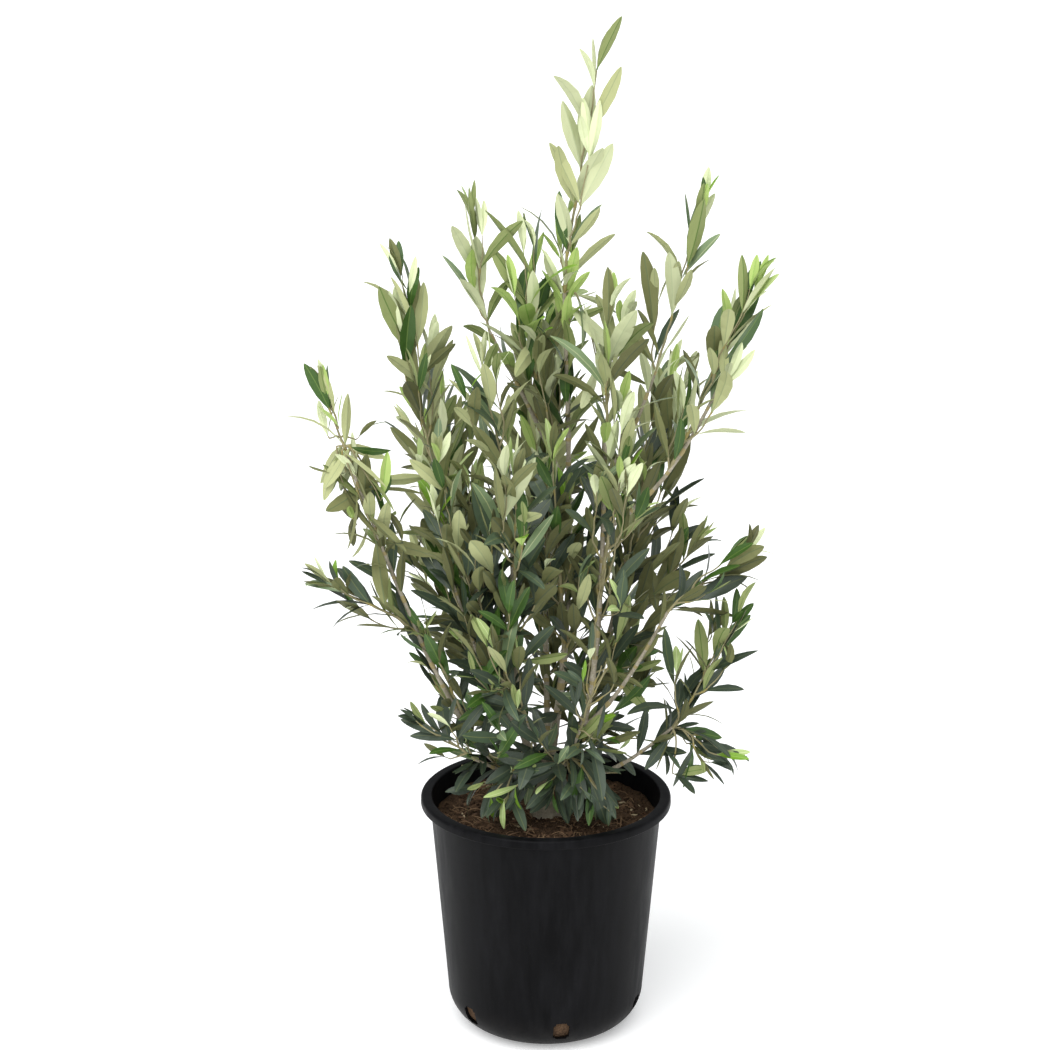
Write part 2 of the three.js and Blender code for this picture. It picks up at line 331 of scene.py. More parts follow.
def pot_plastic():
    """Black plastic with faint upright scuffs, and a little dust near the foot."""
    made, tree, shader = material("black_pot_plastic", (0.005, 0.005, 0.006), 0.5, 0.06)
    clouds = group(tree, "Mottle", Scale=14.0, Stretch=2.5, Contrast=2.2)
    streaks = group(tree, "Mottle", Scale=90.0, Stretch=7.0, Contrast=3.0)
    scuffed = maths(tree, "MULTIPLY", clouds, streaks)
    black = mixed(tree, scuffed, (0.0022, 0.0022, 0.0026), (0.0105, 0.0105, 0.012))
    height = add_node(tree, "ShaderNodeSeparateXYZ", {0: place_of(tree)}).outputs["Z"]
    near_foot = maths(tree, "MULTIPLY_ADD", height, -1 / POT["dusty_height"], 1.0, clamp=True)
    dusty = maths(tree, "MULTIPLY", near_foot, group(tree, "Mottle", Scale=60.0, Contrast=3.0))
    dust = maths(tree, "MULTIPLY", dusty, 0.35)
    tree.links.new(mixed(tree, dust, black, (0.03, 0.027, 0.024)), shader.inputs["Base Color"])
    tree.links.new(maths(tree, "MULTIPLY_ADD", scuffed, 0.25, 0.42), shader.inputs["Roughness"])
    tree.links.new(group(tree, "Relief", Scale=900.0, Depth=0.0002), shader.inputs["Normal"])
    return made


def soil_crust():
    """Dark peat in soft patches, with finer and paler specks."""
    made, tree, shader = material("peaty_soil", (0.05, 0.03, 0.018), 0.95, 0.1)
    patches = group(tree, "Mottle", Scale=70.0, Contrast=3.0)
    dark = mixed(tree, patches, (0.022, 0.013, 0.008), (0.085, 0.05, 0.028))
    specks = maths(tree, "MULTIPLY", group(tree, "Mottle", Scale=420.0, Contrast=4.0), 0.4)
    tree.links.new(mixed(tree, specks, dark, (0.16, 0.1, 0.06)), shader.inputs["Base Color"])
    tree.links.new(group(tree, "Relief", Scale=600.0, Depth=0.003, Strength=0.8), shader.inputs["Normal"])
    return made


def stem_bark():
    """Pale grey-tan bark in patches, with darker flecks."""
    made, tree, shader = material("grey_stem_bark", (0.3, 0.27, 0.2), 0.75, 0.25)
    patches = group(tree, "Mottle", Scale=90.0, Stretch=3.0, Contrast=2.4)
    flecks = maths(tree, "MULTIPLY", group(tree, "Mottle", Scale=500.0, Contrast=5.0), 0.35)
    grey = mixed(tree, patches, (0.24, 0.21, 0.15), (0.52, 0.47, 0.37))
    tree.links.new(mixed(tree, flecks, grey, (0.13, 0.11, 0.07)), shader.inputs["Base Color"])
    tree.links.new(group(tree, "Relief", Scale=700.0, Depth=0.0012, Strength=0.6), shader.inputs["Normal"])
    return made


def plain(name, colour, roughness=0.6, specular=0.4, grain=0.0):
    """A material of one colour, with a grain in its relief."""
    made, tree, shader = material(name, colour, roughness, specular)
    if grain:
        tree.links.new(group(tree, "Relief", Scale=grain, Depth=0.0006), shader.inputs["Normal"])
    return made


def leaf_side(name, colour, roughness, centre, depth):
    """One side of a leaf: a plain colour, with veins about the middle of that side's part of the map."""
    made, tree, shader = material(name, colour, roughness, 0.45)
    tree.links.new(group(tree, "Leaf veins", Centre=centre, Depth=depth), shader.inputs["Normal"])
    return made


# Each kind's upper side, underside and midrib. The darker old and mature kinds are dealt low in the crown and
# the paler sage and silver kinds high, so their tints are partly the leaves' own and partly painted shade and
# painted light.
LEAF_COLOURS = {
    "old": ((0.034, 0.053, 0.031), (0.125, 0.130, 0.047), (0.085, 0.105, 0.055)),
    "mature": ((0.058, 0.091, 0.050), (0.188, 0.198, 0.075), (0.135, 0.165, 0.072)),
    "sage": ((0.145, 0.205, 0.102), (0.435, 0.462, 0.22), (0.33, 0.37, 0.185)),
    "silver": ((0.22, 0.30, 0.16), (0.55, 0.59, 0.345), (0.48, 0.53, 0.31)),
    "green": ((0.040, 0.097, 0.012), (0.24, 0.285, 0.10), (0.11, 0.18, 0.04)),
    "young": ((0.165, 0.32, 0.018), (0.40, 0.53, 0.15), (0.27, 0.44, 0.09)),
    "tip": ((0.42, 0.54, 0.20), (0.72, 0.78, 0.47), (0.62, 0.70, 0.37)),
}


def leaf_materials():
    """For each kind of leaf, the materials of its upper side, its underside and its midrib."""
    made = []
    for kind in LEAF_KINDS:
        upper, under, rib = LEAF_COLOURS[kind]
        made.append((
            leaf_side(kind + "_leaf_upper", upper, 0.42, 0.25, 0.0004),
            leaf_side(kind + "_leaf_underside", under, 0.72, 0.75, 0.0006),
            plain(kind + "_leaf_midrib", rib, 0.6, 0.3),
        ))
    return made


# ---- camera, light and floor ------------------------------------------------------------------------------

def make_camera():
    """A long lens a little above the crown, looking down at the plant."""
    data = bpy.data.cameras.new("camera")
    data.lens = CAMERA["lens"]
    data.sensor_width = CAMERA["sensor"]
    camera = bpy.data.objects.new("camera", data)
    camera.location = CAMERA["place"]
    camera.rotation_euler = (math.radians(90 - CAMERA["down"]), 0, 0)
    bpy.context.scene.collection.objects.link(camera)
    bpy.context.scene.camera = camera


def make_light():
    """Soft white light from all round, with a broad key from the front and a weaker fill."""
    world = bpy.data.worlds.new("soft white room")
    world.use_nodes = True
    world.node_tree.nodes["Background"].inputs["Color"].default_value = (0.95, 0.98, 1.0, 1)
    world.node_tree.nodes["Background"].inputs["Strength"].default_value = 0.5
    bpy.context.scene.world = world
    for name, strength, angle, turn in (
        ("key", 2.7, 60, (math.radians(38), 0, math.radians(-28))),
        ("fill", 0.7, 70, (math.radians(52), 0, math.radians(48))),
    ):
        sun = bpy.data.lights.new(name, "SUN")
        sun.energy = strength
        sun.angle = math.radians(angle)
        lamp = bpy.data.objects.new(name, sun)
        lamp.rotation_euler = turn
        bpy.context.scene.collection.objects.link(lamp)
    bpy.context.scene.view_settings.view_transform = "Standard"


def make_floor():
    """A wide white floor that takes a faint shadow."""
    half = 60.0
    corners = [(-half, -half, 0), (half, -half, 0), (half, half, 0), (-half, half, 0)]
    floor = show("floor", mesh_of("floor", corners, [(0, 1, 2, 3)]))
    floor.location.z = -0.0005
    pale, _, shader = material("pale_floor", (0.9, 0.9, 0.9), 0.9, 0.1)
    shader.inputs["Emission Color"].default_value = (1, 1, 1, 1)
    shader.inputs["Emission Strength"].default_value = 0.28
    floor.data.materials.append(pale)


# ---- pot and soil -----------------------------------------------------------------------------------------

def arc(radius, level, round_, first, last, steps):
    """Points of a profile on an arc, from one angle to another in degrees."""
    angles = [math.radians(first + (last - first) * step / steps) for step in range(steps + 1)]
    return [(radius + round_ * math.cos(a), level + round_ * math.sin(a)) for a in angles]


def turned(name, profile, sides, height=None):
    """A closed body turned round Z. Its profile starts and ends on the axis. height may raise each point."""
    corners = []
    for radius, level in profile[1:-1]:
        for side in range(sides):
            angle = math.tau * side / sides
            place = Vector((radius * math.cos(angle), radius * math.sin(angle), level))
            corners.append(place if height is None else place + UP * height(place))
    rings = len(profile) - 2
    faces = ring_faces(rings, sides)
    ends = ((profile[0], 0, True), (profile[-1], (rings - 1) * sides, False))
    for (radius, level), first, turn_over in ends:
        centre = Vector((0, 0, level))
        corners.append(centre if height is None else centre + UP * height(centre))
        for side in range(sides):
            pair = (first + side, first + (side + 1) % sides)
            faces.append((len(corners) - 1, *(pair[::-1] if turn_over else pair)))
    return mesh_of(name, corners, faces)


def pot_profile():
    """The pot's outline, from the middle of its underside up, over the lip and down to its floor."""
    wall, foot = POT["wall"], POT["foot_round"]
    foot_centre = POT["wall_foot"] - foot
    inner_round = foot - wall
    top, lip = POT["wall_top"], POT["lip_round"]
    under_lip = POT_HEIGHT - wall - 0.001
    return [
        (0, 0),
        *arc(foot_centre, foot, foot, -90, 0, 14),
        (top - 0.0012, under_lip - 0.004),
        *arc(top + 0.001, under_lip - 0.001, 0.001, 180, 90, 3),
        (RIM_RADIUS - 0.0026, under_lip),
        *arc(RIM_RADIUS - 0.0014, POT_HEIGHT - POT["lip_drop"], 0.0012, 200, 360, 5),
        *arc(RIM_RADIUS - lip - 0.0004, POT_HEIGHT - lip, lip, 0, 90, 5),
        *arc(top - wall + 0.0015, POT_HEIGHT - 0.0015, 0.0015, 90, 180, 3),
        *arc(foot_centre, POT["floor"] + inner_round, inner_round, 0, -90, 10),
        (0, POT["floor"]),
    ]


def drain_cutters():
    """Round-cornered blocks that cut the drain openings through the rounded foot."""
    form = bmesh.new()
    for index in range(DRAIN["count"]):
        angle = math.radians(DRAIN["first"] - 90 + index * 360 / DRAIN["count"])
        place = Matrix.Rotation(angle, 4, "Z") @ Matrix.Translation(
            (POT["wall_foot"] - POT["foot_round"] * 0.25, 0, (DRAIN["low"] + DRAIN["high"]) / 2))
        size = Matrix.Diagonal((DRAIN["deep"], DRAIN["width"], DRAIN["high"] - DRAIN["low"], 1))
        bmesh.ops.create_cube(form, size=1, matrix=place @ size)
    bmesh.ops.bevel(form, geom=form.edges[:], offset=0.003, segments=3, affect="EDGES")
    return show("drain_cutters", mesh_from(form, "drain_cutters"))


def make_pot():
    """The pot with its drain openings cut out."""
    whole = show("pot_whole", turned("pot_whole", pot_profile(), POT["sides"]))
    cutters = drain_cutters()
    cut = whole.modifiers.new("drains", "BOOLEAN")
    cut.object = cutters
    cut.solver = "EXACT"
    mesh = settled(whole, "nursery_pot")
    bpy.data.objects.remove(cutters)
    mesh.materials.clear()
    mesh.materials.append(pot_plastic())
    mesh.shade_smooth()
    mesh.set_sharp_from_angle(angle=math.radians(40))
    return finish_piece(show("nursery_pot", mesh), "pot_plastic", "pot")


def soil_height(place):
    """How far the surface of the soil lies above its mean level: lumps and finer crumbs."""
    if place.z < SOIL["level"] - 0.001:
        return 0.0
    lumps = noise.fractal(place * 28, 1.0, 2.1, 3) * SOIL["lump"]
    crumbs = noise.fractal(place * 170 + Vector((7, 3, 1)), 0.8, 2.2, 3) * SOIL["lump"] * 0.5
    return lumps + crumbs


def make_soil():
    """The soil, which fills the pot. Also returns the radius of its surface."""
    foot_centre = POT["wall_foot"] - POT["foot_round"]
    inner_round = POT["foot_round"] - POT["wall"] - 0.0003
    up_wall = (SOIL["level"] - POT["foot_round"]) / (POT_HEIGHT - POT["foot_round"])
    edge = POT["wall_foot"] + (POT["wall_top"] - POT["wall_foot"]) * up_wall - POT["wall"] - 0.0004
    rings = [(edge * (1 - step / SOIL["rings"]), SOIL["level"]) for step in range(SOIL["rings"])]
    profile = [
        (0, POT["floor"] + 0.0003),
        *arc(foot_centre, POT["floor"] + POT["foot_round"] - POT["wall"], inner_round, -90, 0, 8),
        (edge, SOIL["level"] - 0.008),
        *rings,
        (0, SOIL["level"]),
    ]
    mesh = turned("soil", profile, SOIL["sides"], soil_height)
    mesh.materials.append(soil_crust())
    mesh.shade_smooth()
    return finish_piece(show("potting_soil", mesh), "soil", "soil"), edge


def crumb_form(rng, name, stretch):
    """A small uneven lump of about unit size."""
    form = bmesh.new()
    bmesh.ops.create_icosphere(form, subdivisions=1, radius=0.5)
    for vertex in form.verts:
        vertex.co *= rng.uniform(0.75, 1.2)
        vertex.co = Vector([a * b for a, b in zip(vertex.co, stretch)])
    return mesh_from(form, name)


def fibre_form(rng, name):
    """A thin bent strand of about unit length."""
    corners, steps = [], 5
    bend = Vector((rng.uniform(-0.3, 0.3), rng.uniform(-0.2, 0.2), 0))
    for step in range(steps + 1):
        part = step / steps
        centre = Vector((part - 0.5, 0, 0)) + Vector((0, bend.x, bend.y + 0.1)) * math.sin(math.pi * part)
        for side in range(3):
            angle = math.tau * side / 3
            corners.append(centre + Vector((0, math.cos(angle), math.sin(angle))) * 0.025)
    faces = ring_faces(steps + 1, 3) + [(2, 1, 0), (steps * 3, steps * 3 + 1, steps * 3 + 2)]
    return mesh_of(name, corners, faces)


def scatter_tree():
    """Scatters small forms over a surface, turned and sized at random."""
    tree, given, result = new_tree(
        "Scatter on soil", "GeometryNodeTree",
        {"Geometry": "Geometry", "Forms": "Collection", "Per square metre": "Float", "Smallest": "Float",
         "Largest": "Float", "Tilt": "Float", "Seed": "Int", "Finish": "Material"}, {"Geometry": "Geometry"})
    spread = add_node(tree, "GeometryNodeDistributePointsOnFaces", {
        "Mesh": given["Geometry"], "Density": given["Per square metre"], "Seed": given["Seed"]})
    forms = add_node(tree, "GeometryNodeCollectionInfo", {
        "Collection": given["Forms"], "Separate Children": True, "Reset Children": True})
    tilt_back = maths(tree, "MULTIPLY", given["Tilt"], -1.0)
    turn_low = add_node(tree, "ShaderNodeCombineXYZ", {0: tilt_back, 1: 0.0, 2: 0.0})
    turn_high = add_node(tree, "ShaderNodeCombineXYZ", {0: given["Tilt"], 1: given["Tilt"], 2: math.tau})
    turn = add_node(tree, "FunctionNodeRandomValue", {
        0: turn_low.outputs[0], 1: turn_high.outputs[0], "Seed": given["Seed"]}, data_type="FLOAT_VECTOR")
    size = add_node(tree, "FunctionNodeRandomValue", {
        2: given["Smallest"], 3: given["Largest"], "Seed": given["Seed"]}, data_type="FLOAT")
    placed = add_node(tree, "GeometryNodeInstanceOnPoints", {
        "Points": spread.outputs["Points"], "Instance": forms.outputs[0], "Pick Instance": True,
        "Rotation": turn.outputs[0], "Scale": size.outputs[1]})
    real = add_node(tree, "GeometryNodeRealizeInstances", {"Geometry": placed.outputs[0]})
    tree.links.new(finished(tree, real.outputs[0], given["Finish"]), result["Geometry"])
    return tree


def litter_area(reach):
    """The open top of the soil, out to this radius."""
    surface = turned("litter_area", [(0, SOIL["level"] - 0.02), (reach - 0.002, SOIL["level"] - 0.01)] + [
        (reach * (1 - step / 30), SOIL["level"]) for step in range(30)] + [(0, SOIL["level"])],
        60, soil_height)
    form = bmesh.new()
    form.from_mesh(surface)
    bmesh.ops.delete(form, geom=[face for face in form.faces if face.normal.z < 0.2], context="FACES")
    form.to_mesh(surface)
    form.free()
    return show("litter_area", surface)


def make_litter(edge):
    """Crumbs, fibres and pale bits that lie on the soil. edge is the radius of the soil's surface."""
    rng = random.Random(GROWTH_SEED + 5)
    tree = scatter_tree()
    # For each: its forms, how many lie on a square metre, the smallest and largest size, tilt and finish.
    kinds = {
        "soil_crumbs": (
            [crumb_form(rng, "crumb", (1, 0.8, 0.6)) for _ in range(4)], 26000.0, 0.0018, 0.0062, 1.5,
            plain("dark_crumb", (0.045, 0.027, 0.016), 0.95, 0.1, 500.0)),
        "soil_bark_bits": (
            [crumb_form(rng, "bark_bit", (1.4, 0.6, 0.25)) for _ in range(4)], 5000.0, 0.004, 0.013, 0.5,
            plain("bark_bit", (0.12, 0.07, 0.04), 0.9, 0.15, 400.0)),
        "soil_fibres": (
            [fibre_form(rng, "fibre") for _ in range(5)], 7500.0, 0.008, 0.028, 0.5,
            plain("peat_fibre", (0.2, 0.13, 0.075), 0.9, 0.1)),
        "soil_pale_bits": (
            [crumb_form(rng, "pale_bit", (1.3, 0.5, 0.2)) for _ in range(3)], 1300.0, 0.003, 0.009, 0.6,
            plain("pale_bit", (0.42, 0.34, 0.22), 0.85, 0.15)),
    }
    for seed, (name, (forms, density, smallest, largest, tilt, finish)) in enumerate(kinds.items(), 3):
        collection = bpy.data.collections.new(name)
        for mesh in forms:
            collection.objects.link(bpy.data.objects.new(mesh.name, mesh))
        area = litter_area(edge - 0.003 - 0.62 * largest)  # nothing pokes into the pot's wall
        values = {"Forms": collection, "Per square metre": density, "Smallest": smallest,
                  "Largest": largest, "Tilt": tilt, "Seed": seed, "Finish": finish}
        finish_piece(run_tree(area, tree, values, name), "soil")


# ---- limbs, read from the frame ---------------------------------------------------------------------------

def length_of(line):
    """The length of a line of points."""
    return sum((b.xyz - a.xyz).length for a, b in zip(line, line[1:]))


def nearest_on(line, place):
    """The point of a line of [x, y, z, radius] nearest to a place, and how far along it is, 0 to 1."""
    index = min(range(len(line)), key=lambda i: (line[i].xyz - place).length_squared)
    return line[index], index / (len(line) - 1)


def sliced(name, foot, tip, count):
    """The centres and radii of cuts across a limb's CAD node, from its foot to its tip."""
    mesh = frame["nodes"][name].data
    places = [vertex.co for vertex in mesh.vertices]
    axis = (tip - foot).normalized()
    length = (tip - foot).length
    heights = [(place - foot).dot(axis) for place in places]
    cuts = []
    for step in range(count):
        level = length * (0.015 + 0.97 * step / (count - 1))
        cut = []
        for edge in mesh.edges:
            a, b = edge.vertices
            if (heights[a] - level) * (heights[b] - level) < 0:
                cut.append(places[a].lerp(places[b], (level - heights[a]) / (heights[b] - heights[a])))
        if cut:
            cuts.append((sum(cut, Vector()) / len(cut), cut))
    line = []
    for index, (centre, cut) in enumerate(cuts):
        before, after = cuts[max(index - 1, 0)][0], cuts[min(index + 1, len(cuts) - 1)][0]
        along = (after - before).normalized()
        spread = [(p - centre) - along * (p - centre).dot(along) for p in cut]
        line.append(Vector((*centre, sum(s.length for s in spread) / len(spread))))
    return line


def smooth_line(points, spacing):
    """A smooth line through points, with new points at about this spacing."""
    padded = [points[0] * 2 - points[1], *points, points[-1] * 2 - points[-2]]
    line = []
    for index in range(1, len(padded) - 2):
        a, b, c, d = padded[index - 1:index + 3]
        steps = max(1, round((c.xyz - b.xyz).length / spacing))
        for step in range(steps):
            t = step / steps
            line.append(0.5 * (2 * b + (c - a) * t + (2 * a - 5 * b + 4 * c - d) * t ** 2
                               + (3 * b - a - 3 * c + d) * t ** 3))
    return line + [points[-1]]


LINE_SPACING = 0.004  # between the points of a limb's line
LIMB_NAMES = [name for name in frame["nodes"] if name.startswith(("stem_", "bough_"))]
MASS_NAMES = [name for name in frame["nodes"] if name.startswith("foliage_")]
ORDER = [part["node"] for part in frame["record"]["subparts"]]
LIMB_NAMES.sort(key=ORDER.index)
MASS_NAMES.sort(key=ORDER.index)


def read_limbs():
    """Each limb's line by name, from the point on its parent's own line to its tip."""
    low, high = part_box("trunk")
    foot, tip = Vector((0, 0, low.z)), Vector((0.003, -0.002, high.z))
    lines = {"trunk": smooth_line(sliced("trunk", foot, tip, 6), LINE_SPACING)}
    for name in LIMB_NAMES:
        places = [vertex.co for vertex in frame["nodes"][name].data.vertices]
        earlier = [point for line in lines.values() for point in line]
        foot = min(places, key=lambda p: min((q.xyz - p).length for q in earlier))
        tip = max(places, key=lambda p: (p - foot).length)
        line = sliced(name, foot, tip, 16)
        start = min(earlier, key=lambda q: (q.xyz - line[0].xyz).length)
        lines[name] = smooth_line([Vector((*start.xyz, line[0].w)), *line], LINE_SPACING)
    return lines


def read_mass(name, trunk_top):
    """A foliage mass: its closed surface, the two ends of its long axis, its volume and its box."""
    mesh = frame["nodes"][name].data
    places = [vertex.co.copy() for vertex in mesh.vertices]
    faces = [tuple(face.vertices) for face in mesh.polygons]
    areas = np.array([face.area for face in mesh.polygons])
    centres = np.array([face.center for face in mesh.polygons])
    middle = (centres * areas[:, None]).sum(0) / areas.sum()
    spread = np.cov((centres - middle).T, aweights=areas)
    axis = Vector(np.linalg.eigh(spread)[1][:, 2])
    middle = Vector(middle)
    reach = [(place - middle).dot(axis) for place in places]
    ends = [middle + axis * min(reach), middle + axis * max(reach)]
    ends.sort(key=lambda end: (end - trunk_top).length)
    volume = sum(places[a].dot(places[b].cross(places[c])) for a, b, c in faces) / 6
    return {"name": name, "surface": BVHTree.FromPolygons(places, faces), "foot": ends[0], "tip": ends[1],
            "volume": volume, "low": Vector(map(min, *places)), "high": Vector(map(max, *places))}


# ---- growth -----------------------------------------------------------------------------------------------

LIMB_LINES = read_limbs()
TRUNK_END = LIMB_LINES["trunk"][-1].xyz
MASSES = [read_mass(name, TRUNK_END) for name in MASS_NAMES]
CROWN_LOW = min(mass["low"].z for mass in MASSES)
CROWN_HIGH = max(mass["high"].z for mass in MASSES)
FOOT_SHOOTS_END = CROWN_LOW + 0.28 * (CROWN_HIGH - CROWN_LOW)

GROWTH = {
    "node_gap": (0.023, 1.2),  # between pairs of leaves, and how much wider at the crown's top
    "leaf": (0.051, 0.026),  # a leaf's length low in the crown, and how much longer at its top
    "stand_proud": 0.012,  # how far a leaf's tip may leave the masses
    "side_shoot": (0.000028, 0.000135),  # cubic metres for each side shoot, low and high in the crown
    "side_shoot_gap": 0.045,  # the farthest that side shoots are apart along a leader, but for the spires
    "foot_shoot_gap": 0.034,  # between the short shoots on the bare foot of a limb
    "foot_stand_proud": 0.045,  # how far a leaf's tip may leave the masses low on the limbs
    "leaf_spread": (46, 14, 12),  # degrees from the twig, and how much less at the twig's and the crown's top
    "leaf_missing": 0.06,  # the share of leaves that a twig has lost
    "turn": 2.4,  # between one side shoot and the next, round the leader
    "near_tip": 0.6,  # a leader that starts past this part of a limb grows on from the limb's end
    "held_back": (0.45, 0.8),  # leaf lengths from a leader's end to its mass's, in the crown and in a spire
    "skirt_droop": 0.9,
}
SPIRE = 0.7  # a mass whose middle is this high in the crown is a spire
SIDE_SHOOTS = {
    "back_share": 0.8,  # how many a mass at the back has, against the others
    "first": 0.22,  # where the lowest may end, as a part of its mass's length
    "span": (0.72, 0.4),  # and how much farther up the highest may end, in the crown and in a spire
    "run": (0.25, 0.5),  # how far below its end one leaves the leader
    "fill": (0.4, 0.9),  # how far towards the mass's surface one reaches
    "least_room": 0.02,
}
# A leaf's kind follows a paleness that rises with height by a rate and a power up to a limit. That rise is
# painted light
# and shade: high leaves are paler as if lit, low ones darker as if shaded. The spray's tone, a rise towards
# the shoot's tip and a random scatter add the leaves' own tint. Chance from green_from up makes a green one
# instead.
LEAF_PAINTED_LIGHT_AND_TINT = {"rate": 7.5, "power": 1.9, "limit": 3.3, "towards_tip": 0.4, "scatter": 0.8, "green_from": 0.93}
# Rings of short shoots round the fork: how many, their ends' heights and distances out, and how they droop.
FOOT_RINGS = (
    (9, (0.286, 0.304), (0.06, 0.11), 0.8),
    (12, (0.3, 0.33), (0.045, 0.09), 0.35),
    (17, (0.322, 0.372), (0.045, 0.12), 0.1),
)
# How far the growth at the top of a mass leans away from the middle of the mass.
LEANS = {"foliage_upper_right": Vector((-0.034, 0, 0))}
# A stem with no leaves in front of it between two heights, and how far to each side.
BARE_STEM = ("stem_right", 0.39, 0.6, 0.009)
# How many side shoots a mass has, against those its volume asks for.
FULLNESS = {"foliage_left_wing": 1.6, "foliage_left_low_wing": 1.3, "foliage_left_shoulder": 0.85,
            "foliage_right_outer": 0.85, "foliage_right_middle": 0.9}
LIGHT_SIDE = Vector((0.15, 0.85, 0.5))  # the upper sides of the high leaves turn this way


def rise_of(place):
    """How high a place is in the crown, 0 to 1."""
    return (place.z - CROWN_LOW) / (CROWN_HIGH - CROWN_LOW)


def leaf_length_at(place):
    """How long the leaves are at a place."""
    low, more = GROWTH["leaf"]
    return low + more * rise_of(place)


def outside_by(place):
    """How far a place lies outside all the foliage masses, or below zero inside one."""
    best = 1.0
    for mass in MASSES:
        near = all(mass["low"][i] - 0.05 < place[i] < mass["high"][i] + 0.05 for i in range(3))
        if near:
            point, normal, _, gap = mass["surface"].find_nearest(place)
            best = min(best, -gap if (place - point).dot(normal) < 0 else gap)
    return best


def hides_bare_stem(*places):
    """True if one of the places lies in front of the stretch of a stem that has shed its leaves."""
    name, low, high, margin = BARE_STEM
    for place in places:
        if low < place.z < high:
            point = min(LIMB_LINES[name], key=lambda p: abs(p.z - place.z))
            if place.y < point.y and abs(place.x - point.x) < margin:
                return True
    return False


def clear_of_pot(place):
    """True if a place is neither in the soil nor in the pot's wall or lip."""
    radius = place.xy.length
    if radius < POT["wall_top"] - CLEAR["wall"]:
        return place.z > SOIL_HIGH.z + CLEAR["soil"]
    return radius > RIM_RADIUS + CLEAR["rim"] or place.z > POT_HEIGHT + CLEAR["rim"]


def side_shoot_count(mass, rise, length):
    """How many side shoots a mass has, by its volume, its height in the crown, its length and its place."""
    low, high = GROWTH["side_shoot"]
    count = max(2, round(mass["volume"] / (low + (high - low) * min(1, 2 * rise ** 1.2))) - 1)
    if rise < 0.62:
        count = max(count, round(length / GROWTH["side_shoot_gap"]))
    if rise < 0.12:
        count += 2
    at_back = "back" in mass["name"].split("_")
    return round(count * (SIDE_SHOOTS["back_share"] if at_back else FULLNESS.get(mass["name"], 1)))


def square_to(along, rng=None, hint=UP):
    """A unit vector square to a direction, towards a hint or a random way."""
    if rng:
        hint = Vector((rng.gauss(0, 1), rng.gauss(0, 1), rng.gauss(0, 1)))
    side = hint - along * hint.dot(along)
    if side.length < 1e-4:
        side = along.orthogonal()
    return side.normalized()


